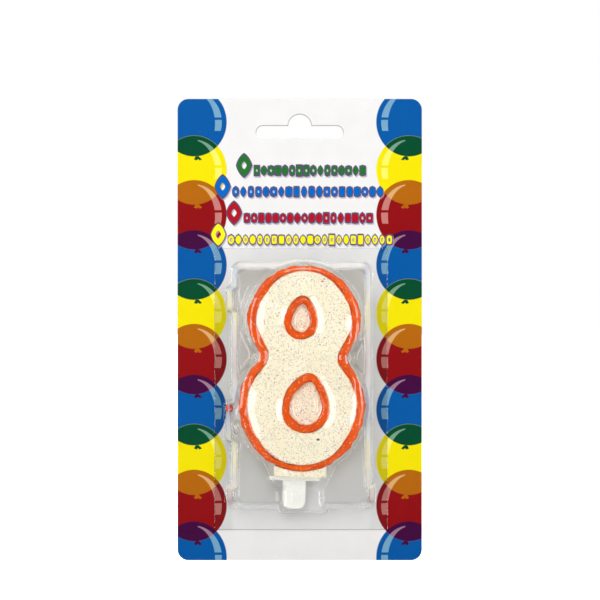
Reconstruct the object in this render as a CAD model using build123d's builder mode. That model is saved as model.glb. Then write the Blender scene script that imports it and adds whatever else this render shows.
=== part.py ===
from build123d import *
from math import cos, radians, sin
import os

# A number candle in a clear blister on a hang card. Millimetres. +X is to the right of somebody
# looking at the front, +Z is up and the front faces -Y. The origin is the middle of the hang slot,
# on the back face of the card. A level is a distance in front of that face.

# ---------------------------------------------------------------- hang card
card_width = 90.0
card_height = 170.0
card_thickness = 0.5
card_corner = 4.0
slot_below_top = 12.3  # from the card's top edge down to the middle of the hang slot
slot_length = 32.0
slot_height = 4.8
slot_bump_radius = 4.25
slot_bump_rise = 2.35  # centre of the round bump above the slot's middle

# ---------------------------------------------------------------- candle figure, an "8" of smooth arcs
figure_x = 1.25  # the waist of the figure in the card's frame
figure_z = -82.1
figure_tilt = 1.5  # degrees, leaning right at the top
crown_radius = 20.3
crown_height = 32.7  # top of the figure above the waist
cheek_radius = 12.0  # tighter arc below the upper lobe's widest point
cheek_turn = 27.6
base_radius = 21.85
base_turn = 47.0
base_drop = 41.3  # bottom of the figure below the waist
hip_radius = 25.0
shoulder_radius = 20.0
shoulder_turn = 36.0
waist_round = 2.0

# ---------------------------------------------------------------- candle
candle_gap = 0.3  # behind the candle, to the card
wax_thickness = 9.5
wax_inset = 0.35  # wax wall inside the outline bead's outer edge
wax_back_round = 0.8
bead_width = 3.0
bead_round = 1.3
bead_proud = 0.8  # in front of the wax's front face
bead_sink = 1.6  # and behind it
ring_width = 2.6
ring_round = 1.1
ring_proud = 0.7
ring_overhang = 0.3  # how far a ring reaches over the edge of its recess
recess_depth = 2.0
foot_width = 19.2
foot_drop = 43.6  # bottom of the foot below the waist
foot_round = 1.0

# teardrop rings: size of the centre line, place of its widest level, lean and rounding of its tip
upper_ring = {"width": 9.2, "height": 13.6, "u": -1.1, "v": 12.0, "lean": 0.95, "tip": 2.0}
lower_ring = {"width": 14.4, "height": 19.0, "u": 1.4, "v": -19.0, "lean": 1.6, "tip": 2.4}
tip_reach = 1.2  # how much further a grown ring reaches at its tip than at its sides

# ---------------------------------------------------------------- wick
wick_diameter = 1.1
wick_end_drop = 34.0  # lower end of the wick below the waist
wick_rise = 0.6  # centre line of the folded stub above the figure's top
wick_stub = 3.6  # length of the folded stub
wick_bend = 1.1

# ---------------------------------------------------------------- cake pick
pick_offset = -2.0  # sideways from the figure's axis
pick_bar_width = 18.7
pick_bar_height = 1.6
pick_bar_depth = 4.0
pick_width = 8.5
pick_thickness = 1.8
pick_length = 10.4  # tongue below the bar
pick_end_round = 2.8
pick_round = 0.4
anchor_width = 6.4
anchor_height = 8.6
anchor_hole_radius = 1.5

# ---------------------------------------------------------------- blister
wall = 0.4
flange_thickness = 0.35
flange_width = 63.7
flange_height = 103.9
flange_x = 0.45
flange_z = -94.55
flange_corner = 3.0
tray_width = 51.0
tray_height = 90.6
tray_x = 0.6
tray_z = -93.4
tray_corner = 3.0
tray_depth = 7.4  # inside, from the card's front face
tray_lean = 2.8  # how far the walls lean in on the left, right and top
tray_foot_lean = 3.8  # and at the bottom
tray_round = 1.0
dome_depth = 12.1  # inside, from the card's front face
dome_clearance = 1.9  # around the figure at the card
dome_lean = 1.1
dome_waist_round = 6.0
dome_round = 3.0
throat_top_width = 30.0  # funnel of the dome over the candle's foot
throat_end_width = 18.0
throat_top = -36.0  # above the waist
throat_end = -48.0
throat_round = 3.0
dish_margin = 4.4  # the dishes over the rings, around the rings' centre lines
dish_depth = 1.2
dish_lean = 1.0
well_inset = 2.0  # the wells inside the rings, from the rings' centre lines
well_tip_inset = 1.0  # and as much again under their tips
well_depth = 2.2
well_lean = 0.7
pocket_x = 1.0
pocket_width = 17.4  # raised channel over the pick, at the card
pocket_end = -139.5
pocket_depth = 9.6
pocket_lean = 1.3
pocket_round = 1.0

# ---------------------------------------------------------------- levels
candle_back = card_thickness + candle_gap
wax_front = candle_back + wax_thickness
candle_middle = candle_back + wax_thickness / 2
bead_floor = wax_front - bead_sink
bead_top = wax_front + bead_proud
ring_top = wax_front + ring_proud


def card_plane(level, x=0.0, z=0.0):
    """The upright plane at a level, with its origin at x, z."""
    return Plane(origin=(x, -level, z), x_dir=(1, 0, 0), z_dir=(0, -1, 0))


def candle_plane(level):
    """The upright plane at a level, with its origin at the figure's waist, leaning with the figure."""
    lean = radians(figure_tilt)
    return Plane(origin=(figure_x, -level, figure_z), x_dir=(cos(lean), 0, -sin(lean)), z_dir=(0, -1, 0))


# ================================================================ outlines
def figure_face(corner_round):
    """The figure's outline in its own coordinates, with its waist corners rounded."""
    with BuildSketch() as figure:
        with BuildLine():
            crown = JernArc((0, crown_height), (1, 0), crown_radius, -90)
            cheek = JernArc(crown @ 1, crown % 1, cheek_radius, -cheek_turn)
            flank = PolarLine(cheek @ 1, crown_height, direction=cheek % 1, mode=Mode.PRIVATE)
            base = JernArc((0, -base_drop), (1, 0), base_radius, base_turn)
            hip = JernArc(base @ 1, base % 1, hip_radius, 90 - base_turn)
            shoulder = JernArc(hip @ 1, hip % 1, shoulder_radius, shoulder_turn)
            slope = IntersectingLine(shoulder @ 1, shoulder % 1, flank)
            Line(cheek @ 1, slope @ 1)
            mirror(about=Plane.YZ)
        make_face()
        fillet(figure.vertices().sort_by_distance((0, 0, 0))[:2], corner_round)
    return figure.sketch


def teardrop(ring, grow=0.0):
    """The face inside a ring's centre line, grown outwards, in the figure's own coordinates."""
    half = ring["width"] / 2 + grow
    left = (ring["u"] - half, ring["v"])
    right = (ring["u"] + half, ring["v"])
    tip = (ring["u"] + ring["lean"], ring["v"] + ring["height"] - ring["width"] / 2 + tip_reach * grow)
    with BuildSketch() as drop:
        with BuildLine():
            JernArc(left, (0, -1), half, 180)
            TangentArc(right, tip, tangent=(0, 1))
            TangentArc(left, tip, tangent=(0, 1))
        make_face()
        fillet(drop.vertices().sort_by(Axis.Y)[-1], ring["tip"] + grow)
    return drop.sketch


# ================================================================ hang card
with BuildPart() as backing_card:
    with BuildSketch(card_plane(0, z=slot_below_top - card_height / 2)):
        RectangleRounded(card_width, card_height, card_corner)
    extrude(amount=card_thickness)
    with BuildSketch(card_plane(0)):
        SlotOverall(slot_length, slot_height)
        with Locations((0, slot_bump_rise)):
            Circle(slot_bump_radius)
    extrude(amount=card_thickness, mode=Mode.SUBTRACT)
backing_card.part.label = "backing_card"

# ================================================================ candle: coloured wax beads
with BuildPart() as outline_bead:
    with BuildSketch(candle_plane(bead_floor)):
        add(figure_face(waist_round))
        offset(amount=-bead_width, mode=Mode.SUBTRACT)
    extrude(amount=bead_top - bead_floor)
    fillet(outline_bead.faces().sort_by(Axis.Y)[0].edges(), bead_round)
outline_bead.part.label = "outline_bead"

counter_beads = []
for name, ring in (("upper_counter_bead", upper_ring), ("lower_counter_bead", lower_ring)):
    with BuildPart() as counter_bead:
        with BuildSketch(candle_plane(bead_floor)):
            add(teardrop(ring, grow=ring_width / 2))
            add(teardrop(ring, grow=-ring_width / 2), mode=Mode.SUBTRACT)
        extrude(amount=ring_top - bead_floor)
        fillet(counter_bead.faces().sort_by(Axis.Y)[0].edges(), ring_round)
    counter_bead.part.label = name
    counter_beads.append(counter_bead)

# ================================================================ candle: wick, its top folded back
with BuildPart() as wick:
    flat = candle_plane(candle_middle)
    wick_plane = Plane(origin=flat.origin, x_dir=flat.y_dir, z_dir=flat.x_dir)
    with BuildLine(wick_plane) as run:
        FilletPolyline(
            (-wick_end_drop, 0),
            (crown_height + wick_rise, 0),
            (crown_height + wick_rise, -wick_stub),
            radius=wick_bend,
        )
    with BuildSketch(Plane(origin=run.line @ 0, z_dir=run.line % 0)):
        Circle(wick_diameter / 2)
    sweep(path=run.line)
wick.part.label = "wick"

# ================================================================ candle: cake pick
with BuildPart() as cake_pick:
    bar_bottom = -foot_drop - pick_bar_height
    with BuildSketch(candle_plane(candle_middle)):
        with Locations((pick_offset, bar_bottom)):
            Rectangle(pick_bar_width, pick_bar_height, align=(Align.CENTER, Align.MIN))
    extrude(amount=pick_bar_depth / 2, both=True)
    fillet(cake_pick.edges(), pick_round)
    with BuildSketch(candle_plane(candle_middle)) as tongue:
        with Locations((pick_offset, bar_bottom - pick_length)):
            Rectangle(pick_width, pick_length, align=(Align.CENTER, Align.MIN))
        fillet(tongue.vertices().sort_by(Axis.Y)[:2], pick_end_round)
    extrude(amount=pick_thickness / 2, both=True)
    below_bar = cake_pick.edges().filter_by(lambda edge: edge.center().Z < figure_z + bar_bottom - pick_round)
    fillet(below_bar.filter_by(Axis.Y, reverse=True), pick_round)
    with BuildSketch(candle_plane(candle_middle)):
        with Locations((pick_offset, -foot_drop - pick_bar_height / 2)):
            Rectangle(anchor_width, anchor_height + pick_bar_height / 2, align=(Align.CENTER, Align.MIN))
        with Locations((pick_offset, -foot_drop + anchor_height / 2)):
            Circle(anchor_hole_radius, mode=Mode.SUBTRACT)
    extrude(amount=pick_thickness / 2, both=True)
cake_pick.part.label = "cake_pick"

# ================================================================ candle: wax body, cast round the rest
with BuildPart() as wax_body:
    with BuildSketch(candle_plane(candle_back)) as wall_line:
        add(figure_face(waist_round))
        offset(amount=-wax_inset, mode=Mode.REPLACE)
        with Locations((0, -foot_drop)):
            Rectangle(foot_width, foot_drop - base_drop + base_radius / 2, align=(Align.CENTER, Align.MIN))
        fillet(wall_line.vertices().sort_by(Axis.Y)[:2], foot_round)
    extrude(amount=wax_thickness)
    fillet(wax_body.faces().sort_by(Axis.Y)[-1].edges(), wax_back_round)
    for ring in (upper_ring, lower_ring):
        with BuildSketch(candle_plane(wax_front)):
            add(teardrop(ring, grow=ring_overhang - ring_width / 2))
        extrude(amount=-recess_depth, mode=Mode.SUBTRACT)
    for piece in (outline_bead, *counter_beads, wick, cake_pick):
        add(piece.part, mode=Mode.SUBTRACT)
wax_body.part.label = "wax_body"


# ================================================================ blister
def tray_form(grow):
    """The tray that the dome stands on: a drafted box over the whole candle."""
    shift = (tray_foot_lean - tray_lean) / 2
    with BuildPart() as tray:
        with BuildSketch(card_plane(card_thickness, tray_x, tray_z)):
            RectangleRounded(tray_width + 2 * grow, tray_height + 2 * grow, tray_corner + grow)
        with BuildSketch(card_plane(card_thickness + tray_depth + grow, tray_x, tray_z + shift)):
            RectangleRounded(
                tray_width - 2 * tray_lean + 2 * grow,
                tray_height - tray_lean - tray_foot_lean + 2 * grow,
                tray_corner + grow,
            )
        loft()
        fillet(tray.faces().sort_by(Axis.Y)[0].edges(), tray_round + grow)
    return tray.part


def dome_face(grow):
    """The outline of the dome: the figure with clearance, and the throat over the candle's foot."""
    with BuildSketch() as outline:
        add(figure_face(dome_waist_round))
        offset(amount=dome_clearance + grow, mode=Mode.REPLACE)
        with BuildLine():
            Polyline(
                (-throat_top_width / 2 - grow, throat_top),
                (-throat_end_width / 2 - grow, throat_end - grow),
                (throat_end_width / 2 + grow, throat_end - grow),
                (throat_top_width / 2 + grow, throat_top),
                close=True,
            )
        make_face()
        fillet(outline.vertices().sort_by(Axis.Y)[:4], throat_round)
    return outline.sketch


def dome_form(grow):
    """The raised figure that holds the candle, with dishes over its rings and wells inside them."""
    top = card_thickness + dome_depth + grow
    with BuildPart() as dome:
        with BuildSketch(candle_plane(card_thickness)):
            add(dome_face(grow))
        with BuildSketch(candle_plane(top)):
            add(dome_face(grow - dome_lean))
        loft()
        fillet(dome.faces().sort_by(Axis.Y)[0].edges(), dome_round)
        for ring in (upper_ring, lower_ring):
            with BuildSketch(candle_plane(top)):
                add(teardrop(ring, grow=dish_margin - grow / 2))
            with BuildSketch(candle_plane(top - dish_depth)):
                add(teardrop(ring, grow=dish_margin - dish_lean - grow / 2))
            loft(mode=Mode.SUBTRACT)
            half_width = ring["width"] / 2 - well_inset - grow
            half_height = ring["height"] / 2 - well_inset - well_tip_inset - grow
            centre_height = ring["v"] + (ring["height"] - ring["width"]) / 2 - well_tip_inset
            centre = (ring["u"] + ring["lean"] / 4, centre_height)
            with BuildSketch(candle_plane(top - dish_depth)):
                with Locations(centre):
                    Ellipse(half_width, half_height)
            with BuildSketch(candle_plane(top - dish_depth - well_depth)):
                with Locations(centre):
                    Ellipse(half_width - well_lean, half_height - well_lean)
            loft(mode=Mode.SUBTRACT)
    return dome.part


def pocket_form(grow):
    """The raised channel over the cake pick, from the dome's throat to the tray's end."""
    top = figure_z + throat_end / 2
    with BuildPart() as pocket:
        for level, lean in ((card_thickness, 0), (card_thickness + pocket_depth + grow, pocket_lean)):
            with BuildSketch(card_plane(level, pocket_x, (top + pocket_end) / 2)):
                Rectangle(pocket_width + 2 * (grow - lean), top - pocket_end + 2 * (grow - lean))
        loft()
        fillet(pocket.edges().filter_by(Axis.X, reverse=True).filter_by(Axis.Z, reverse=True), pocket_round)
    return pocket.part


blister_forms = (tray_form, dome_form, pocket_form)
with BuildPart() as blister_cavity:
    for form in blister_forms:
        add(form(0))

with BuildPart() as blister_shell:
    with BuildSketch(card_plane(card_thickness, flange_x, flange_z)):
        RectangleRounded(flange_width, flange_height, flange_corner)
    extrude(amount=flange_thickness)
    for form in blister_forms:
        add(form(wall))
    add(blister_cavity.part, mode=Mode.SUBTRACT)
blister_shell.part.label = "blister_shell"

# ================================================================ files
os.makedirs("parts", exist_ok=True)
for piece in (backing_card, blister_shell, wax_body, outline_bead, *counter_beads, wick, cake_pick):
    export_step(piece.part, f"parts/{piece.part.label}.step")
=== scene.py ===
import bmesh
import bpy
import numpy as np
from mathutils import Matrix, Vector, noise
from mathutils.bvhtree import BVHTree


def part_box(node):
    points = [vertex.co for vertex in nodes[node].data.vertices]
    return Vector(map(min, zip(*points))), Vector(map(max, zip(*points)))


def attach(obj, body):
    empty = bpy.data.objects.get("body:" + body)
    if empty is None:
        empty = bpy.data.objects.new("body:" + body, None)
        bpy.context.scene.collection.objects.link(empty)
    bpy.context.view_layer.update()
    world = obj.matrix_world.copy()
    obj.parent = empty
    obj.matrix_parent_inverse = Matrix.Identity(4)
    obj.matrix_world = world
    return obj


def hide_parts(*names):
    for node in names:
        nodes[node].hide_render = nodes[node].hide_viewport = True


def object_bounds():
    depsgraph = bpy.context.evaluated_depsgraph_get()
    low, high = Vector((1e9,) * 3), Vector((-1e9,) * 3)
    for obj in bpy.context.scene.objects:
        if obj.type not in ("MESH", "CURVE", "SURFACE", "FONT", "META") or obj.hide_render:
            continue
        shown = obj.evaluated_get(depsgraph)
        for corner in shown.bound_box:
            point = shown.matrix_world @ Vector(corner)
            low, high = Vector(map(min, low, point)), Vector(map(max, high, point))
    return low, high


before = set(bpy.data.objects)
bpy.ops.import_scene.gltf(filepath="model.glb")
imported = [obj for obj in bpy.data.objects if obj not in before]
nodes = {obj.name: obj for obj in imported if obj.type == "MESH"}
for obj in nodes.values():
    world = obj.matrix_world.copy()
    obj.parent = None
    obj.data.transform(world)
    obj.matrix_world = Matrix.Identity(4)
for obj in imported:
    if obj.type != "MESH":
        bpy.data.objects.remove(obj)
cad_low, cad_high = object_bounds()

# The pack hangs with its front facing -Y. Blender works in metres. Sizes here are millimetres, which MM
# turns into metres; only the lamps and the floor's reach are given in metres.
MM = 0.001
card_low, card_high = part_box("backing_card")
shell_low, shell_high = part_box("blister_shell")


# ---------------------------------------------------------------- node expressions
class Value:
    """A number in a material's node tree, with arithmetic that adds Math nodes."""

    def __init__(self, tree, socket):
        self.tree = tree
        self.socket = socket

    def op(self, name, *others):
        node = self.tree.nodes.new("ShaderNodeMath")
        node.operation = name
        for slot, item in zip(node.inputs, (self, *others)):
            if isinstance(item, Value):
                self.tree.links.new(item.socket, slot)
            else:
                slot.default_value = item
        return Value(self.tree, node.outputs[0])

    def __add__(self, other):
        return self.op("ADD", other)

    def __sub__(self, other):
        return self.op("SUBTRACT", other)

    def __mul__(self, other):
        return self.op("MULTIPLY", other)

    def __truediv__(self, other):
        return self.op("DIVIDE", other)

    __radd__ = __add__
    __rmul__ = __mul__

    def __rsub__(self, other):
        return self.op("MULTIPLY_ADD", -1.0, other)

    def abs(self):
        return self.op("ABSOLUTE")

    def max(self, other):
        return self.op("MAXIMUM", other)

    def min(self, other):
        return self.op("MINIMUM", other)

    def floor(self):
        return self.op("FLOOR")

    def wrap(self, low, high):
        return self.op("WRAP", high, low)

    def step(self, low, high):
        """0 at low and beyond it, 1 at high and beyond it, smooth between. low may be the larger."""
        node = self.tree.nodes.new("ShaderNodeMapRange")
        node.interpolation_type = "SMOOTHSTEP"
        self.tree.links.new(self.socket, node.inputs["Value"])
        rising = low < high
        node.inputs["From Min"].default_value = min(low, high)
        node.inputs["From Max"].default_value = max(low, high)
        node.inputs["To Min"].default_value = 0.0 if rising else 1.0
        node.inputs["To Max"].default_value = 1.0 if rising else 0.0
        return Value(self.tree, node.outputs["Result"])

    def remap(self, low, high, new_low, new_high):
        node = self.tree.nodes.new("ShaderNodeMapRange")
        self.tree.links.new(self.socket, node.inputs["Value"])
        ends = {"From Min": low, "From Max": high, "To Min": new_low, "To Max": new_high}
        for name, number in ends.items():
            node.inputs[name].default_value = number
        return Value(self.tree, node.outputs["Result"])


def linear(red, green, blue):
    """A display colour, 0 to 255 a channel, as scene-linear RGBA."""
    channels = []
    for channel in (red, green, blue):
        share = channel / 255
        channels.append(share / 12.92 if share <= 0.04045 else ((share + 0.055) / 1.055) ** 2.4)
    return (*channels, 1.0)


class Paint:
    """A new material with a Principled shader, and short calls for the nodes that feed it."""

    def __init__(self, name):
        self.material = bpy.data.materials.new(name)
        self.material.use_nodes = True
        self.tree = self.material.node_tree
        self.shader = self.tree.nodes["Principled BSDF"]
        self.output = self.tree.nodes["Material Output"]
        coordinates = self.tree.nodes.new("ShaderNodeTexCoord")
        self.place = coordinates.outputs["Object"]

    def link(self, source, target):
        self.tree.links.new(source.socket if isinstance(source, Value) else source, target)

    def set(self, **sockets):
        for name, value in sockets.items():
            socket = self.shader.inputs[name.replace("_", " ")]
            if isinstance(value, (Value, bpy.types.NodeSocket)):
                self.link(value, socket)
            else:
                socket.default_value = value

    def axes(self):
        """X, Y and Z in millimetres."""
        node = self.tree.nodes.new("ShaderNodeSeparateXYZ")
        self.link(self.place, node.inputs[0])
        return [Value(self.tree, output) / MM for output in node.outputs]

    def noise(self, size, detail=3.0, stretch=(1, 1, 1)):
        """Perlin noise, 0 to 1, whose features are about size millimetres."""
        mapping = self.tree.nodes.new("ShaderNodeMapping")
        mapping.inputs["Scale"].default_value = [1 / (size * MM * s) for s in stretch]
        self.link(self.place, mapping.inputs["Vector"])
        node = self.tree.nodes.new("ShaderNodeTexNoise")
        node.inputs["Scale"].default_value = 1.0
        node.inputs["Detail"].default_value = detail
        self.link(mapping.outputs["Vector"], node.inputs["Vector"])
        return Value(self.tree, node.outputs["Fac"])

    def grains(self, size, offset=0.0):
        """Voronoi cells about size millimetres apart: millimetres to a cell's centre, and its colour."""
        mapping = self.tree.nodes.new("ShaderNodeMapping")
        mapping.inputs["Location"].default_value = (offset, offset, offset)
        self.link(self.place, mapping.inputs["Vector"])
        node = self.tree.nodes.new("ShaderNodeTexVoronoi")
        node.inputs["Scale"].default_value = 1 / (size * MM)
        self.link(mapping.outputs["Vector"], node.inputs["Vector"])
        return Value(self.tree, node.outputs["Distance"]) * size, node.outputs["Color"]

    def stored(self, name):
        """A number that the mesh holds for each of its points."""
        node = self.tree.nodes.new("ShaderNodeAttribute")
        node.attribute_name = name
        return Value(self.tree, node.outputs["Fac"])

    def channels(self, colour):
        node = self.tree.nodes.new("ShaderNodeSeparateColor")
        self.link(colour, node.inputs[0])
        return [Value(self.tree, output) for output in node.outputs]

    def mix(self, share, first, second):
        """Two colours mixed. Each is a colour socket or an RGBA tuple."""
        node = self.tree.nodes.new("ShaderNodeMix")
        node.data_type = "RGBA"
        factor, first_in, second_in = node.inputs[0], node.inputs[6], node.inputs[7]
        for source, target in ((share, factor), (first, first_in), (second, second_in)):
            if isinstance(source, (Value, bpy.types.NodeSocket)):
                self.link(source, target)
            else:
                target.default_value = source
        return node.outputs[2]

    def tinted(self, share, base, target):
        """base mixed toward target as a screen would mix them."""
        ends = []
        for colour in (base, target):
            node = self.tree.nodes.new("ShaderNodeGamma")
            node.inputs["Gamma"].default_value = 1 / 2.2
            if isinstance(colour, tuple):
                node.inputs["Color"].default_value = colour
            else:
                self.link(colour, node.inputs["Color"])
            ends.append(node.outputs[0])
        back = self.tree.nodes.new("ShaderNodeGamma")
        back.inputs["Gamma"].default_value = 2.2
        self.link(self.mix(share, *ends), back.inputs["Color"])
        return back.outputs[0]

    def hash(self, number, seed=0.0):
        """A random number, 0 to 1, for a whole number."""
        node = self.tree.nodes.new("ShaderNodeTexWhiteNoise")
        node.noise_dimensions = "1D"
        self.link(number + (seed + 0.5), node.inputs["W"])
        return Value(self.tree, node.outputs["Value"])

    def bump(self, height, depth, strength=1.0):
        """A normal from a height between 0 and 1, depth millimetres deep."""
        node = self.tree.nodes.new("ShaderNodeBump")
        node.inputs["Strength"].default_value = strength
        node.inputs["Distance"].default_value = depth * MM
        self.link(height, node.inputs["Height"])
        return node.outputs["Normal"]


def wear(piece, *materials):
    """Puts these materials on a piece, which may be a CAD node, in place of what it has."""
    while len(piece.material_slots) < len(materials):
        piece.data.materials.append(None)
    for index, slot in enumerate(piece.material_slots):
        slot.material = materials[min(index, len(materials) - 1)]


# ---------------------------------------------------------------- printed card
PAPER = linear(230, 229, 228)
INK = {
    "blue": linear(0, 84, 157),
    "yellow": linear(233, 217, 0),
    "red": linear(139, 10, 16),
    "green": linear(0, 72, 43),
    "orange": linear(174, 98, 8),
    "purple": linear(64, 6, 60),
}
BALLOON_PERIOD = 53.4  # three balloons, blue then yellow then red, down the card's edge
BALLOON_FIRST = 8.6  # centre of the first blue balloon below the card's top
BALLOON_SPACING = {"blue": 0.0, "yellow": 18.0, "red": 34.7}
BALLOON_OVERLAPS = (("blue", "yellow", "green"), ("yellow", "red", "orange"), ("red", "blue", "purple"))
BALLOON_INSET = 6.1  # centre inside the card's side edge
BALLOON_HALF = (12.0, 12.9)
PRINT_SHIFT = 1.3  # the right column is printed this much nearer its edge
PRINT_SAG = 0.85  # and both columns ride this much high at mid height
SAG_MIDDLE, SAG_HALF = 85.0, 80.0  # mid height below the card's top, and where above and below it this ends
INK_EDGE = 0.012  # softness of a printed edge, as a share of the balloon
GLEAM_OUTER = (10.2, 11.4)  # a balloon's gleam lies inside this oval
GLEAM_INNER = (8.1, 11.8)  # and outside this one
GLEAM_SHIFT = (0.4, 0.66)  # whose centre is this far out and down
KNOT_SHIFT = 1.1  # a balloon's knot is this far inward of its middle


def oval(x, y, half_x, half_y):
    """1 on an ellipse's edge, less inside."""
    across = x / half_x
    down = y / half_y
    return (across * across + down * down).op("SQRT")


def balloon(side, fall):
    """Masks of one balloon, its gleam and its knot.
    side and fall are millimetres from its centre, inwards and down."""
    body = oval(side, fall, *BALLOON_HALF)
    disc = body.step(1 + INK_EDGE, 1 - INK_EDGE)
    outer = oval(side, fall, *GLEAM_OUTER).step(1.01, 0.99)
    inner = oval(side + GLEAM_SHIFT[0], fall - GLEAM_SHIFT[1], *GLEAM_INNER).step(0.99, 1.01)
    sickle = fall.step(-1.6, -1.85) * side.step(1.1, 1.5)
    block = fall.step(-0.95, -0.7) * fall.step(3.45, 3.2) * side.step(3.0, 4.0)
    gleam = outer * inner * sickle.max(block)
    below = fall - (BALLOON_HALF[1] - 0.1)
    lean = (side - KNOT_SHIFT - below * 0.25).abs()
    flare = (lean - below * 0.8).step(0.6, 0.45) * below.step(-0.1, 0.1)
    skirt = flare * (below + lean * 0.4).step(1.9, 1.75)
    notch = (lean - (below - 1.1) * 0.9).step(0.1, -0.05)
    return disc, gleam, skirt * (1.0 - notch)


SHAPE_WIDTH = (0.9, 1.2)  # least and most half width of a row's small shapes
SHAPE_HEIGHT = (1.5, 1.8)
FIRST_HALF = (2.7, 4.1)  # half width and half height of a row's large first shape
FIRST_SHIFT = (3.4, 1.9)  # and how far it stands left of the row's start and above its middle


def confetti_row(paint, x, down, row):
    """Mask and rim mask of one row of small printed shapes, the first one large.
    It stands for a line of print."""
    start, end, middle, pitch, seed = row
    index = ((x - start) / pitch).floor()
    across = x - start - (index + 0.5) * pitch
    width = paint.hash(index, seed).remap(0, 1, *SHAPE_WIDTH)
    height = paint.hash(index, seed + 31).remap(0, 1, *SHAPE_HEIGHT)
    squareness = paint.hash(index, seed + 67).remap(0, 1, 0.35, 1.0)
    u = across.abs() / width
    v = (down - middle).abs() / height
    shape = (u + v) * (1.0 - squareness) + u.max(v) * squareness
    hollow = paint.hash(index, seed + 91).step(0.35, 0.36)
    shape = shape.max((0.72 - (u * u + v * v).op("SQRT")) * 3.2 * hollow)
    inside = x.step(start, start + 0.05) * x.step(end, end - 0.05)
    big_u = (x - (start - FIRST_SHIFT[0])).abs() / FIRST_HALF[0]
    big_v = (down - (middle - FIRST_SHIFT[1])).abs() / FIRST_HALF[1]
    big = (big_u * big_u + big_v * big_v).op("SQRT") * 0.6 + (big_u + big_v) * 0.4
    big = big.max((0.62 - big) * 4.0)
    small_mask = shape.step(1.03, 0.93) * inside
    small_rim = shape.step(1.42, 1.24) * inside
    return small_mask.max(big.step(1.0, 0.96)), small_rim.max(big.step(1.16, 1.11))


# ink, then the row's start and end in x, its middle below the card's top, its shapes' pitch, and a seed
ROWS = (
    (linear(38, 110, 46), (-17.1, 24.5, 26.4, 2.6, 3)),
    (linear(0, 98, 186), (-25.0, 30.9, 34.2, 2.8, 11)),
    (linear(170, 20, 36), (-20.8, 27.1, 43.9, 2.66, 23)),
    (linear(246, 232, 20), (-26.6, 34.3, 51.9, 2.65, 41)),
)
ROW_RIM = linear(84, 66, 104)
ROW_SHADE = linear(158, 148, 170)
ROW_SHADE_SHIFT = (0.35, 0.5)  # the shade lies this far right of a row and below it

SLOT_HALF, SLOT_END = 16.0, 2.4  # half length of the hang slot and radius of its ends
BUMP_RISE, BUMP_RADIUS = 2.35, 4.25  # the round bump over the slot's middle


def balloon_print(paint, colour, side, down):
    """This colour with overlapping balloons over it, down both sides of the card."""
    sag = (down - SAG_MIDDLE) / SAG_HALF
    spread = down + (1.0 - sag * sag) * PRINT_SAG
    discs, gleams, knots = {}, [], {}
    for name, offset in BALLOON_SPACING.items():
        fall = (spread - (BALLOON_FIRST + offset)).wrap(-BALLOON_PERIOD / 2, BALLOON_PERIOD / 2)
        disc, gleam, knot = balloon(side, fall)
        if name == "red":  # each column starts with blue, so no red balloon shows over it
            lower = down.step(14.0, 15.0)
            disc, knot = disc * lower, knot * lower
        discs[name] = disc
        knots[name] = knot
        gleams.append(gleam)
        colour = paint.mix(disc, colour, INK[name])
    for first, second, both in BALLOON_OVERLAPS:
        mask = (discs[first] * discs[second]).max(knots[first])
        colour = paint.mix(mask, colour, INK[both])
    gleam = gleams[0].max(gleams[1]).max(gleams[2])
    return paint.tinted(gleam * 0.44, colour, linear(255, 247, 226))


def row_print(paint, colour, x, down):
    """This colour with the four rows over it, all their shades first."""
    for _, row in ROWS:
        shade = confetti_row(paint, x - ROW_SHADE_SHIFT[0], down - ROW_SHADE_SHIFT[1], row)[1]
        colour = paint.mix(shade * 0.7, colour, ROW_SHADE)
    for ink, row in ROWS:
        mask, rim = confetti_row(paint, x, down, row)
        colour = paint.mix(rim, colour, ROW_RIM)
        colour = paint.mix(mask, colour, ink)
    return colour


def slot_edge_shade(x, z):
    """Mask of painted shadow round the upper side of the hang slot and its bump, where the cut's upper edge
    casts a thin shadow on the board.
    """
    ends = (x.abs() - (SLOT_HALF - SLOT_END)).max(0.0)
    beyond_slot = (ends * ends + z * z).op("SQRT") - SLOT_END
    lift = z - BUMP_RISE
    beyond_bump = (x * x + lift * lift).op("SQRT") - BUMP_RADIUS
    return beyond_slot.min(beyond_bump).step(0.42, 0.12) * z.step(-1.6, 0.6)


def bare_board(paint, mottle, facing):
    """Colour of the board where it isn't printed: its dark cut edges and its grey back."""
    board = paint.mix(mottle, linear(206, 200, 188), linear(188, 182, 170))
    flecks = paint.grains(1.3, offset=3.0)[0]
    board = paint.mix(flecks.step(0.3, 0.15) * 0.35, board, linear(150, 140, 126))
    rear = Value(paint.tree, facing.outputs["Y"]).step(0.5, 0.8)
    return paint.mix(rear, linear(118, 110, 98), board)


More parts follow.
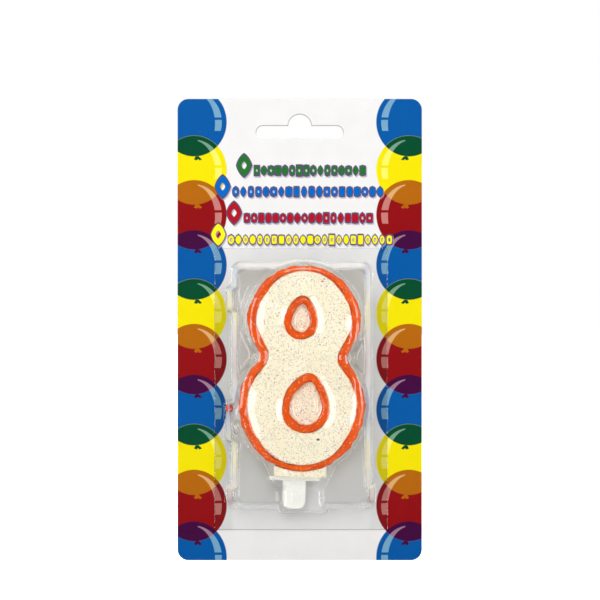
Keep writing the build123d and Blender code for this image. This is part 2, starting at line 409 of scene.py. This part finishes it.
def printed_board():
    paint = Paint("printed_board")
    x, _, z = paint.axes()
    down = card_high.z / MM - z
    side = card_high.x / MM - x.abs() - BALLOON_INSET + x.step(-1, 1) * PRINT_SHIFT
    mottle = paint.noise(9.0, detail=5.0)
    fibre = paint.noise(0.6, detail=2.0)
    colour = paint.mix(mottle.remap(0.3, 0.7, 0.0, 1.0), PAPER, linear(226, 225, 224))
    colour = balloon_print(paint, colour, side, down)
    colour = row_print(paint, colour, x, down)
    # painted shadow along the upper edge of the hang slot
    colour = paint.mix(slot_edge_shade(x, z) * 0.62, colour, linear(122, 118, 112))
    dust, chance = paint.grains(3.6)
    speck = dust.step(0.16, 0.1) * paint.channels(chance)[0].step(0.72, 0.78)
    colour = paint.mix(speck * 0.45, colour, linear(120, 110, 100))
    facing = paint.tree.nodes.new("ShaderNodeSeparateXYZ")
    paint.link(paint.tree.nodes["Texture Coordinate"].outputs["Normal"], facing.inputs[0])
    front = Value(paint.tree, facing.outputs["Y"]).step(-0.5, -0.8)
    colour = paint.mix(front, bare_board(paint, mottle, facing), colour)
    paint.set(
        Base_Color=colour,
        Roughness=fibre.remap(0.3, 0.7, 0.38, 0.5),
        Normal=paint.bump(fibre + mottle * 0.6, 0.02, 0.5),
        Specular_IOR_Level=0.06,
    )
    return paint.material


card = nodes["backing_card"]
wear(card, printed_board())


# ---------------------------------------------------------------- mesh helpers
def copied(name, source):
    """A new object at the origin with a copy of this CAD node's mesh, in the shared frame."""
    bpy.context.view_layer.update()
    built = bmesh.new()
    part = source.data.copy()
    part.transform(source.matrix_world)
    built.from_mesh(part)
    bpy.data.meshes.remove(part)
    mesh = bpy.data.meshes.new(name)
    built.to_mesh(mesh)
    built.free()
    mesh.materials.clear()
    piece = bpy.data.objects.new(name, mesh)
    bpy.context.scene.collection.objects.link(piece)
    return piece


def remeshed(piece, voxel, rounds):
    """Gives the piece an even mesh of voxel millimetres and softens it by that many rounds of smoothing."""
    grid = piece.modifiers.new("grid", "REMESH")
    grid.mode = "VOXEL"
    grid.voxel_size = voxel * MM
    soft = piece.modifiers.new("soft", "SMOOTH")
    soft.factor = 0.5
    soft.iterations = rounds
    view = bpy.context.evaluated_depsgraph_get()
    mesh = bpy.data.meshes.new_from_object(piece.evaluated_get(view))
    piece.modifiers.clear()
    old = piece.data
    piece.data = mesh
    bpy.data.meshes.remove(old)
    mesh.name = piece.name
    smooth(piece)
    return piece


def smooth(piece):
    piece.data.polygons.foreach_set("use_smooth", [True] * len(piece.data.polygons))


def points_of(mesh):
    flat = np.empty(len(mesh.vertices) * 3)
    mesh.vertices.foreach_get("co", flat)
    return flat.reshape(-1, 3)


def normals_of(mesh):
    flat = np.empty(len(mesh.vertices) * 3)
    mesh.vertices.foreach_get("normal", flat)
    return flat.reshape(-1, 3)


def move_points(mesh, points):
    mesh.vertices.foreach_set("co", points.ravel())
    mesh.update()


def noise_at(points, size, seed):
    """Perlin noise, about -1 to 1, at each point in metres. Features are about size millimetres."""
    scale = 1 / (size * MM)
    shift = Vector((seed * 7.3, seed * 3.1, seed * 5.7))
    return np.array([noise.noise(Vector(p) * scale + shift) for p in points])


def smooth_between(value, low, high):
    share = np.clip((value - low) / (high - low), 0, 1)
    return share * share * (3 - 2 * share)


def finished(piece, body, slot, material, *stands_for):
    piece.data.materials.clear()
    piece.data.materials.append(material)
    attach(piece, body)
    if stands_for:
        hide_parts(*stands_for)
    return piece


# ---------------------------------------------------------------- wax
def glitter(paint, size, share, radius, seed):
    """Mask of the sparkles that show among grains size millimetres apart, and the grains' random colour."""
    reach, colour = paint.grains(size, offset=seed)
    chance = paint.channels(colour)[0]
    return reach.step(radius, radius * 0.6) * chance.step(1 - share - 0.01, 1 - share + 0.01), colour


# grain size in millimetres, share of grains that sparkle, their radius, seed and strength
GLITTER = ((0.6, 0.65, 0.26, 1.3, 0.6), (0.9, 0.5, 0.3, 4.7, 0.7), (1.7, 0.5, 0.36, 8.9, 0.8))

# flecks in the wax: x, z and radius in millimetres, and colour
SPECKS = ((6.6, -112.0, 0.6, linear(28, 16, 12)), (8.2, -55.1, 0.45, linear(190, 60, 40)))


def cream_wax():
    paint = Paint("cream_wax")
    cloud = paint.noise(14.0, detail=4.0)
    grain = paint.noise(0.7, detail=3.0)
    colour = paint.mix(cloud.remap(0.3, 0.7, 0, 1), linear(254, 247, 221), linear(249, 239, 209))
    for size, share, radius, seed, strength in GLITTER:
        mask, tint = glitter(paint, size, share, radius, seed)
        flake = paint.mix(0.5, tint, linear(120, 108, 104))
        colour = paint.mix(mask * strength, colour, flake)
    x, _, z = paint.axes()
    for at_x, at_z, radius, ink in SPECKS:
        spot = oval(x - at_x, z - at_z, radius, radius * 0.75)
        colour = paint.mix(spot.step(1.1, 0.8) * 0.92, colour, ink)
    paint.set(
        Base_Color=colour,
        Roughness=grain.remap(0.3, 0.7, 0.42, 0.6),
        Normal=paint.bump(grain + cloud * 0.4, 0.09, 0.5),
        Subsurface_Weight=0.1,
        Subsurface_Radius=(1.0, 0.72, 0.4),
        Subsurface_Scale=1.6 * MM,
    )
    return paint.material


def orange_wax():
    paint = Paint("orange_wax")
    cloud = paint.noise(7.0, detail=4.0)
    grain = paint.noise(0.5, detail=3.0)
    colour = paint.mix(cloud.remap(0.3, 0.7, 0, 1), linear(237, 91, 1), linear(219, 75, 2))
    mask, tint = glitter(paint, 0.8, 0.55, 0.27, 2.2)
    spark = paint.mix(0.6, tint, linear(255, 200, 120))
    colour = paint.mix(mask * 0.7, colour, spark)
    paint.set(
        Base_Color=colour,
        Roughness=grain.remap(0.3, 0.7, 0.48, 0.68),
        Normal=paint.bump(grain, 0.1, 0.7),
        Specular_IOR_Level=0.13,
        Subsurface_Weight=0.08,
        Subsurface_Radius=(1.0, 0.35, 0.12),
        Subsurface_Scale=0.8 * MM,
    )
    return paint.material


cream = cream_wax()
orange = orange_wax()

RIM_THINNED = (1.35, 1.0)  # off the outline bead's inner side, at the figure's top and at its bottom
RIM_TOP = (-59.0, -51.5)  # z where the thinning at the top begins, and where it is full
RIM_BOTTOM = (-119.5, -111.0)  # z where the thinning at the bottom is full, and where it ends
RIM_FOOT = (-124.0, -122.6)  # z where the foot ends the thinning, and where it is full again
RIM_FRONT = (8.6, 9.4)  # millimetres forward where it begins, and where it is full
WAX_WAVES = ((0.10, 9.0), (0.05, 2.2))  # depth and size of the wax's unevenness
WAX_SHRINK = 0.08
BEAD_WAVES = ((0.5, 3.2), (0.24, 1.4), (0.12, 9.0))
BEAD_SWELL = 0.04


def rim_thinning(places, facing):
    """Millimetres that the border between the outline bead and the wax inside it sits further out, for
    faces that look away from the figure's middle; negative for faces that look back at it."""
    height = places[:, 2] / MM
    top = smooth_between(height, *RIM_TOP)
    bottom = (1 - smooth_between(height, *RIM_BOTTOM)) * smooth_between(height, *RIM_FOOT)
    upward = np.clip(facing[:, 2] * 1.5, -1, 1)
    forward = smooth_between(-places[:, 1] / MM, *RIM_FRONT)
    return (RIM_THINNED[0] * top * upward - RIM_THINNED[1] * bottom * upward) * forward


def uneven(places, start, waves, seed):
    """Millimetres that each point moves outward: start, and noise of each depth and size."""
    rise = start
    for order, (depth, size) in enumerate(waves):
        rise = rise + depth * noise_at(places, size, seed + order)
    return rise


def wax_figure():
    wax = remeshed(copied("wax_figure", nodes["wax_body"]), voxel=0.36, rounds=3)
    places = points_of(wax.data)
    facing = normals_of(wax.data)
    swell = uneven(places, 0.0, WAX_WAVES, 1) - WAX_SHRINK
    swell = swell + np.clip(rim_thinning(places, facing), 0, None)
    move_points(wax.data, places + facing * (swell * MM)[:, None])
    return wax


finished(wax_figure(), "candle", "cream_wax", cream, "wax_body")


def piped(name, node, seed, thinned=False):
    """A bead of wax laid by a nozzle: its sides wander and its top is lumpy."""
    bead = remeshed(copied(name, nodes[node]), voxel=0.24, rounds=5)
    places = points_of(bead.data)
    facing = normals_of(bead.data)
    lump = uneven(places, BEAD_SWELL, BEAD_WAVES, seed)
    if thinned:
        lump = lump + np.clip(rim_thinning(places, facing), None, 0)
    move_points(bead.data, places + facing * (lump * MM)[:, None])
    return finished(bead, "candle", "orange_wax", orange, node)


piped("piped_outline", "outline_bead", 11, thinned=True)
piped("piped_upper_ring", "upper_counter_bead", 21)
piped("piped_lower_ring", "lower_counter_bead", 31)


# ---------------------------------------------------------------- clear blister
def pitch_blur(field, sigma):
    """Gaussian blur of a 2-D field, sigma in cells, with the edges held."""
    reach = max(1, int(3 * sigma))
    weights = np.exp(-0.5 * (np.arange(-reach, reach + 1) / sigma) ** 2)
    weights /= weights.sum()
    for axis in (0, 1):
        pad = [(0, 0), (0, 0)]
        pad[axis] = (reach, reach)
        padded = np.pad(field, pad, mode="edge")
        field = sum(w * np.take(padded, range(i, i + field.shape[axis]), axis) for i, w in enumerate(weights))
    return field


CELL = 0.366  # millimetres between the blister's grid points
SHEET = 0.33
FLANGE_LEVEL = 0.86  # front of the flange, in front of the card's back
TRAY_TOP = 7.9
DOME_TOP = 13.0
TRAY_HALF = 25.5
LUG_INSET = 2.2  # only what stands outside this far in from the tray's side bulges
LUG_SHARE = 0.9
INNER_REACH = 4.0  # this far inside the dome's edge, what stands lower is a dish or a well
DISH_DROP = 0.5
WELL_DROP = 2.2
SHOULDER_SLOPE = 0.16  # the dome falls toward its edge at this slope
SHOULDER_REACH = 7.7
SHOULDER_BEND = 0.01
EDGE_REACH = 4.3  # and falls faster this near its edge
EDGE_BEND = 0.08
WAIST_FLATS = ((0.75, -77.5, 3.2), (0.8, -89.0, 4.2))  # where it falls less: share, middle and spread in z
FLATTEST = 0.85  # and never by more than this share
DISH_SLOPE = 0.27  # it dips around each counter
DISH_REACH = 3.2
WELL_DEPTH = 2.5
FOOT_RISE = 1.2  # how far the tray's top rises to meet the dome's wall
FOOT_REACH = 0.9  # and how far from the wall that dies away
POCKET_TOP = -122.0
WAVE_SIZE, WAVE_DEPTH = 15.0, 0.16
RIPPLE_SIZE, RIPPLE_DEPTH = 4.0, 0.045
CREASE_SIZE, CREASE_DEPTH = 2.0, 0.35
CREASE_STRETCH = (2.0, 1.0, 0.7)  # creases are short across and long down
TRAY_PAINTED_SHADE, CREASE_PAINTED_SHADE, FLANGE_PAINTED_SHADE = 0.4, 0.7, 0.38  # painted shade: how much each darkens what is seen through the sheet
# painted dark line along the sheet's cut edge, fainter at its top
RIM_PAINTED_SHADE, TOP_RIM_PAINTED_SHADE = 0.9, 0.5
# bulges of the tray's side walls: side, lower and upper end in z, and how far they reach out
LUGS = (
    (-1, -65.6, -57.5, 1.9),
    (-1, -113.0, -99.5, 2.3),
    (-1, -138.5, -130.0, 1.7),
    (1, -140.5, -129.5, 1.5),
)


def blister_levels():
    """Grid of x and z over the flange, in millimetres, and how far the sheet's front stands at each point
    of it from the card's back."""
    solid = copied("probe", nodes["blister_shell"])
    tree = BVHTree.FromObject(solid, bpy.context.evaluated_depsgraph_get())
    low, high = shell_low / MM, shell_high / MM
    inset = 0.02
    across = np.linspace(low.x + inset, high.x - inset, round((high.x - low.x) / CELL))
    upward = np.linspace(low.z + inset, high.z - inset, round((high.z - low.z) / CELL))
    level = np.full((len(upward), len(across)), FLANGE_LEVEL)
    direction = Vector((0, 1, 0))
    for row, z in enumerate(upward):
        for column, x in enumerate(across):
            hit = tree.ray_cast(Vector((x * MM, -0.1, z * MM)), direction)[0]
            if hit is not None:
                level[row, column] = -hit.y / MM
    bpy.data.objects.remove(solid)
    return across, upward, level


def with_lugs(across, upward, level):
    """The tray's side walls bulge outward in a few places, which keeps stacked blisters apart."""
    middle = (across[0] + across[-1]) / 2
    for side, low, high, reach in LUGS:
        cells = round(reach / CELL)
        shifted = np.roll(level, side * cells, axis=1)
        if side < 0:
            shifted[:, -cells:] = level[:, -cells:]
        else:
            shifted[:, :cells] = level[:, :cells]
        outer = side * (across - middle) > TRAY_HALF - LUG_INSET
        above = smooth_between(upward, low - 0.8, low + 0.6)
        share = above * (1 - smooth_between(upward, high - 0.6, high + 0.8))
        gain = np.maximum(shifted - level, 0) * share[:, None] * outer[None, :]
        level = level + gain * LUG_SHARE
    return level


def edge_distance(mask, grid_x, grid_z):
    """Millimetres inside a mask's edge, negative outside."""
    inside = mask > 0.5
    edge = np.zeros_like(inside)
    edge[1:-1, 1:-1] = inside[1:-1, 1:-1] & ~(
        inside[:-2, 1:-1] & inside[2:, 1:-1] & inside[1:-1, :-2] & inside[1:-1, 2:]
    )
    nearest = np.full(mask.shape, np.inf)
    for x, z in zip(grid_x[edge], grid_z[edge]):
        nearest = np.minimum(nearest, (grid_x - x) ** 2 + (grid_z - z) ** 2)
    return pitch_blur(np.where(inside, 1, -1) * np.sqrt(nearest), 0.5 / CELL)


def formed(level, inward, dome, grid_x, grid_z):
    """The CAD's steps as warm sheet takes them: a falling shoulder, dips round the counters, and a
    rounded foot. inward is the distance inside the dome's edge."""
    inner = inward > INNER_REACH
    dish = (inner & (level < DOME_TOP - DISH_DROP)).astype(float)
    well = (inner & (level < DOME_TOP - WELL_DROP)).astype(float)
    filled = np.where(inner, np.maximum(level, DOME_TOP), level)
    rounded = pitch_blur(filled, 0.32 / CELL)
    rounded += (pitch_blur(filled, 0.8 / CELL) - rounded) * pitch_blur(dome, 0.5 / CELL)
    outward = np.clip(SHOULDER_REACH - inward, 0, SHOULDER_REACH)
    shoulder = SHOULDER_SLOPE * outward + SHOULDER_BEND * outward**2
    shoulder += EDGE_BEND * np.clip(EDGE_REACH - inward, 0, EDGE_REACH) ** 2
    relaxed = np.zeros_like(level)
    for share, middle, spread in WAIST_FLATS:
        relaxed += share * np.exp(-(((grid_z - middle) / spread) ** 2))
    rounded -= pitch_blur(shoulder * dome * (1 - np.clip(relaxed, 0, FLATTEST)), 0.4 / CELL)
    bowl = DISH_SLOPE * np.clip(edge_distance(dish, grid_x, grid_z) + 0.3, 0, DISH_REACH)
    rounded -= pitch_blur(bowl, 0.3 / CELL)
    beyond = np.clip(-inward, 0, None)
    foot = np.where(inward < 0, np.exp(-beyond / FOOT_REACH), 0.0)
    foot = foot * smooth_between(rounded, TRAY_TOP - 1.1, TRAY_TOP - 0.3)
    rounded += FOOT_RISE * pitch_blur(foot, 0.35 / CELL)
    return rounded - WELL_DEPTH * pitch_blur(well, 0.85 / CELL)


def wrinkled(level, slope_x, slope_z, grid_x, grid_z):
    """Slow waves and fine ripples over what stands above the flange, and creases down its walls."""
    flat = np.stack([grid_x.ravel(), np.zeros(grid_x.size), grid_z.ravel()], axis=1) * MM
    raised = smooth_between(level, FLANGE_LEVEL + 0.2, FLANGE_LEVEL + 2.5)
    waves = noise_at(flat, WAVE_SIZE, 3).reshape(level.shape)
    ripples = noise_at(flat, RIPPLE_SIZE, 4).reshape(level.shape)
    wall = pitch_blur(smooth_between(np.hypot(slope_x, slope_z), 0.8, 1.8), 0.3 / CELL)
    creases = noise_at(flat * np.array(CREASE_STRETCH), CREASE_SIZE, 5).reshape(level.shape)
    return level + raised * (WAVE_DEPTH * waves + RIPPLE_DEPTH * ripples) + wall * creases * CREASE_DEPTH


def shades(level, upright, inward, grid_x, grid_z):
    """Two fields over the grid: painted shade, how much the sheet darkens what is seen through it over the
    tray's top, along its bends, on the flange beside the tray and along its cut edge; and how rough its gloss
    is.
    upright is 1 where the sheet faces forward and 0 where it stands on edge."""
    outside = 1 - smooth_between(inward, -0.6, 0.3)
    # painted shade over the tray's top, outside the dome
    plateau_shade = smooth_between(level, 5.6, 7.0) * (1 - smooth_between(level, 8.6, 9.6)) * outside
    # painted dark bands where the sheet bends down into its walls
    bend_shade = smooth_between(upright, 0.5, 0.62) * (1 - smooth_between(upright, 0.82, 0.93))
    bend_shade = bend_shade * (1 - smooth_between(inward, 0.8, 1.8)) * np.where(grid_z < POCKET_TOP, 0.35, 1.0)
    # painted dark line along the sheet's cut edge
    rim_line_shade = np.zeros_like(level)
    rim_line_shade[0, :] = RIM_PAINTED_SHADE
    rim_line_shade[-1, :] = TOP_RIM_PAINTED_SHADE
    rim_line_shade[:, [0, -1]] = RIM_PAINTED_SHADE
    flange = 1 - smooth_between(level, FLANGE_LEVEL + 0.1, FLANGE_LEVEL + 1.2)
    middle = (grid_x.min() + grid_x.max()) / 2
    # painted shade on the flange beside the tray, strongest at mid height
    beside_shade = smooth_between(np.abs(grid_x - middle), TRAY_HALF - 1.0, TRAY_HALF + 0.8)
    beside_shade = beside_shade * smooth_between(-grid_z, 50.0, 66.0) * (1 - 0.6 * smooth_between(-grid_z, 126.0, 142.0))
    painted_shade = TRAY_PAINTED_SHADE * plateau_shade + CREASE_PAINTED_SHADE * bend_shade + FLANGE_PAINTED_SHADE * flange * beside_shade + rim_line_shade
    frost = (1 - smooth_between(upright, 0.4, 0.6)) * outside
    return np.clip(painted_shade, 0, 1), frost


def closed_sheet(level, slope_x, slope_z, grid_x, grid_z):
    """Vertices and faces of a closed sheet, SHEET millimetres thick, whose front stands at these levels."""
    front = np.stack([grid_x, -level, grid_z], axis=2)
    facing = np.stack([-slope_x, -np.ones_like(level), -slope_z], axis=2)
    back = front - facing / np.linalg.norm(facing, axis=2, keepdims=True) * SHEET
    back[:, :, 1] = np.minimum(back[:, :, 1], -(FLANGE_LEVEL - SHEET))
    back[[0, -1], :, 0] = grid_x[0]
    vertices = np.concatenate([front.reshape(-1, 3), back.reshape(-1, 3)]) * MM
    behind = level.size  # a back vertex's number is this much above its front vertex's
    index = np.arange(behind).reshape(level.shape)
    corners = [index[:-1, :-1], index[:-1, 1:], index[1:, 1:], index[1:, :-1]]
    faces = np.stack(corners, axis=2).reshape(-1, 4)
    edge = np.concatenate([index[0, :], index[1:, -1], index[-1, -2::-1], index[-2:0:-1, 0]])
    following = np.roll(edge, -1)
    rim = np.stack([edge, edge + behind, following + behind, following], axis=1)
    return vertices, np.concatenate([faces, faces[:, ::-1] + behind, rim])


def blister():
    """The formed sheet as one piece, which holds its painted shade and its frost for the material."""
    across, upward, level = blister_levels()
    level = with_lugs(across, upward, level)
    dome = smooth_between(level, TRAY_TOP + 0.3, TRAY_TOP + 1.3)
    grid_x, grid_z = np.meshgrid(across, upward)
    inward = edge_distance(dome, grid_x, grid_z)
    level = formed(level, inward, dome, grid_x, grid_z)
    slope_z, slope_x = np.gradient(level, upward, across)
    upright = 1 / np.sqrt(1 + slope_x**2 + slope_z**2)
    level = wrinkled(level, slope_x, slope_z, grid_x, grid_z)
    painted_shade, frost = shades(level, upright, inward, grid_x, grid_z)
    slope_z, slope_x = np.gradient(level, upward, across)
    vertices, faces = closed_sheet(level, slope_x, slope_z, grid_x, grid_z)
    mesh = bpy.data.meshes.new("clear_blister")
    mesh.from_pydata(vertices.tolist(), [], faces.tolist())
    mesh.validate()
    mesh.update()
    # each point holds its painted shade and its frost
    for name, field in (("painted_shade", painted_shade), ("frost", frost)):
        store = mesh.attributes.new(name, "FLOAT", "POINT")
        store.data.foreach_set("value", np.tile(field.ravel(), 2))
    piece = bpy.data.objects.new("clear_blister", mesh)
    bpy.context.scene.collection.objects.link(piece)
    built = bmesh.new()
    built.from_mesh(mesh)
    bmesh.ops.recalc_face_normals(built, faces=built.faces)
    built.to_mesh(mesh)
    built.free()
    smooth(piece)
    return piece


def clear_sheet():
    """Thin clear plastic: mostly lets light straight through, with a gloss and a faint haze, and darker where
    its mesh holds painted shade.
    """
    paint = Paint("clear_sheet")
    tree = paint.tree
    tree.nodes.remove(paint.shader)
    haze = paint.noise(5.0, detail=5.0)
    scuff = paint.noise(1.0, detail=3.0, stretch=(1, 1, 6))
    through = tree.nodes.new("ShaderNodeBsdfTransparent")
    gloss = tree.nodes.new("ShaderNodeBsdfGlossy")
    glancing = tree.nodes.new("ShaderNodeLayerWeight")
    join = tree.nodes.new("ShaderNodeMixShader")
    glancing.inputs["Blend"].default_value = 0.5
    tint = paint.mix(haze.remap(0.35, 0.7, 0, 1), (0.998, 0.999, 0.999, 1), (0.988, 0.991, 0.992, 1))
    # painted shade held by the mesh darkens what is seen through the sheet
    tint = paint.mix(paint.stored("painted_shade"), tint, (0.80, 0.805, 0.795, 1))
    frost = paint.stored("frost")
    paint.link(tint, through.inputs["Color"])
    gloss.inputs["Color"].default_value = (1, 1, 1, 1)
    paint.link(scuff.remap(0.3, 0.75, 0.03, 0.11) + frost * 0.45, gloss.inputs["Roughness"])
    share = Value(tree, glancing.outputs["Facing"]).op("POWER", 5.0) * 0.9 + 0.03 + frost * 0.26
    paint.link(share.min(0.7), join.inputs[0])
    paint.link(through.outputs[0], join.inputs[1])
    paint.link(gloss.outputs[0], join.inputs[2])
    paint.link(join.outputs[0], paint.output.inputs["Surface"])
    return paint.material


finished(blister(), "blister", "clear_plastic", clear_sheet(), "blister_shell")


# ---------------------------------------------------------------- pick, wick and crumb
def pick_plastic():
    paint = Paint("pick_plastic")
    flow = paint.noise(3.0, detail=4.0, stretch=(1, 1, 3))
    colour = paint.mix(flow.remap(0.3, 0.7, 0, 1), linear(255, 254, 246), linear(247, 246, 238))
    paint.set(
        Base_Color=colour,
        Roughness=flow.remap(0.3, 0.7, 0.22, 0.32),
        Normal=paint.bump(flow, 0.1, 0.5),
        Subsurface_Weight=0.1,
        Subsurface_Radius=(1.0, 1.0, 0.9),
        Subsurface_Scale=0.6 * MM,
    )
    return paint.material


pick = remeshed(copied("moulded_pick", nodes["cake_pick"]), voxel=0.2, rounds=2)
finished(pick, "candle", "pick_plastic", pick_plastic(), "cake_pick")


def cotton():
    paint = Paint("cotton")
    fibre = paint.noise(0.25, detail=3.0, stretch=(1, 1, 5))
    colour = paint.mix(fibre, linear(250, 246, 232), linear(216, 204, 178))
    paint.set(Base_Color=colour, Roughness=0.85, Normal=paint.bump(fibre, 0.12, 0.8))
    return paint.material


PLAIT_TURN = 2.6  # radians a millimetre
PLAIT_DEPTH, PLAIT_SINK = 0.16, 0.06


def braided_wick():
    """The CAD wick's surface with the plait of a braid pressed into it."""
    braid = remeshed(copied("braided_wick", nodes["wick"]), voxel=0.12, rounds=2)
    places = points_of(braid.data)
    facing = normals_of(braid.data)
    angle = np.arctan2(facing[:, 1], facing[:, 0])
    turn = places[:, 2] / MM * PLAIT_TURN
    plait = np.abs(np.sin(angle + turn)) * np.abs(np.sin(angle - turn))
    move_points(braid.data, places + facing * ((plait * PLAIT_DEPTH - PLAIT_SINK) * MM)[:, None])
    return braid


finished(braided_wick(), "candle", "cotton", cotton(), "wick")


CRUMB_PLACE = (-25.8, -2.4, -101.5)
CRUMB_RADIUS = 1.45
CRUMB_SHARES = (0.95, 0.8, 1.05)  # of its radius: across, forward and up


def crumb():
    """A crumb of orange wax that has fallen into the left lug of the tray."""
    built = bmesh.new()
    bmesh.ops.create_icosphere(built, subdivisions=4, radius=1.0)
    centre = Vector(CRUMB_PLACE) * MM
    for vertex in built.verts:
        place = vertex.co.copy()
        lump = 1 + 0.28 * noise.noise(place * 1.3 + Vector((5, 2, 9))) + 0.1 * noise.noise(place * 4.0)
        reach = Vector(part * share for part, share in zip(place, CRUMB_SHARES))
        vertex.co = reach * lump * CRUMB_RADIUS * MM + centre
    mesh = bpy.data.meshes.new("wax_crumb")
    built.to_mesh(mesh)
    built.free()
    piece = bpy.data.objects.new("wax_crumb", mesh)
    bpy.context.scene.collection.objects.link(piece)
    smooth(piece)
    return piece


finished(crumb(), "blister", "orange_wax", orange)


# ---------------------------------------------------------------- camera, light and floor
def aim(thing, target):
    thing.rotation_mode = "QUATERNION"
    thing.rotation_quaternion = (Vector(target) - thing.location).to_track_quat("-Z", "Y")


VIEW_DROP = 74.1  # middle of the picture below the card's top
FLOOR_DROP = 12  # floor below the card's foot


def make_camera():
    data = bpy.data.cameras.new("camera")
    camera = bpy.data.objects.new("camera", data)
    bpy.context.scene.collection.objects.link(camera)
    distance = 400 * MM
    view_width = 221.1 * MM  # across the picture, in the card's plane
    data.sensor_width = 36.0
    data.lens = data.sensor_width * distance / view_width
    centre = Vector((0.1 * MM, card_low.y, card_high.z - VIEW_DROP * MM))
    camera.location = centre - Vector((0, distance, 0))
    aim(camera, centre)
    bpy.context.scene.camera = camera


def area_light(name, place, target, size, power):
    data = bpy.data.lights.new(name, "AREA")
    data.shape = "RECTANGLE"
    data.size, data.size_y = size
    data.energy = power
    lamp = bpy.data.objects.new(name, data)
    bpy.context.scene.collection.objects.link(lamp)
    lamp.location = place
    aim(lamp, target)
    return lamp


def make_world():
    world = bpy.data.worlds.new("studio")
    bpy.context.scene.world = world
    world.use_nodes = True
    tree = world.node_tree
    background = tree.nodes["Background"]
    coordinates = tree.nodes.new("ShaderNodeTexCoord")
    split = tree.nodes.new("ShaderNodeSeparateXYZ")
    tree.links.new(coordinates.outputs["Generated"], split.inputs[0])
    behind = Value(tree, split.outputs["Y"]).step(-0.6, 0.3)
    rays = tree.nodes.new("ShaderNodeLightPath")
    seen = Value(tree, rays.outputs["Is Camera Ray"])
    glow = behind * 0.9 + 0.08
    strength = seen + (1.0 - seen) * glow
    background.inputs["Color"].default_value = (1, 1, 1, 1)
    tree.links.new(strength.socket, background.inputs["Strength"])


def make_floor():
    mesh = bpy.data.meshes.new("floor")
    reach = 3.0
    level = card_low.z - FLOOR_DROP * MM
    corners = [(-reach, -reach, level), (reach, -reach, level), (reach, reach, level), (-reach, reach, level)]
    mesh.from_pydata(corners, [], [(0, 1, 2, 3)])
    floor = bpy.data.objects.new("floor", mesh)
    bpy.context.scene.collection.objects.link(floor)
    paint = Paint("pale_floor")
    grain = paint.noise(30.0)
    paint.set(
        Base_Color=paint.mix(grain, (0.93, 0.93, 0.93, 1), (0.95, 0.95, 0.95, 1)),
        Roughness=0.8,
        Emission_Color=(1, 1, 1, 1),
    )
    rays = paint.tree.nodes.new("ShaderNodeLightPath")
    paint.link(rays.outputs["Is Camera Ray"], paint.shader.inputs["Emission Strength"])
    floor.data.materials.append(paint.material)
    floor.visible_glossy = False


make_camera()
make_world()
make_floor()
middle = (cad_low + cad_high) / 2
# two soft boxes in front, which give the sheet and the beads highlights
area_light("left_box", (-0.235, -0.46, -0.12), middle, (0.13, 0.32), 0.52)
area_light("right_box", (0.265, -0.46, -0.13), middle, (0.085, 0.18), 0.3)
# lamps at the sides and above, which diffuse surfaces do not see
for name, place, size, power in (
    ("left_edge", (-0.55, -0.06, middle.z), (0.2, 0.5), 2.2),
    ("right_edge", (0.55, -0.06, middle.z), (0.2, 0.5), 2.2),
    ("top_edge", (0.0, -0.06, 0.45), (0.4, 0.15), 1.4),
):
    area_light(name, place, middle, size, power).visible_diffuse = False
# and a broad one that lights everything and isn't reflected
fill = area_light("fill", (0.0, -0.55, 0.35), middle, (0.5, 0.5), 3.2)
fill.visible_glossy = False
bpy.context.scene.view_settings.view_transform = "Standard"
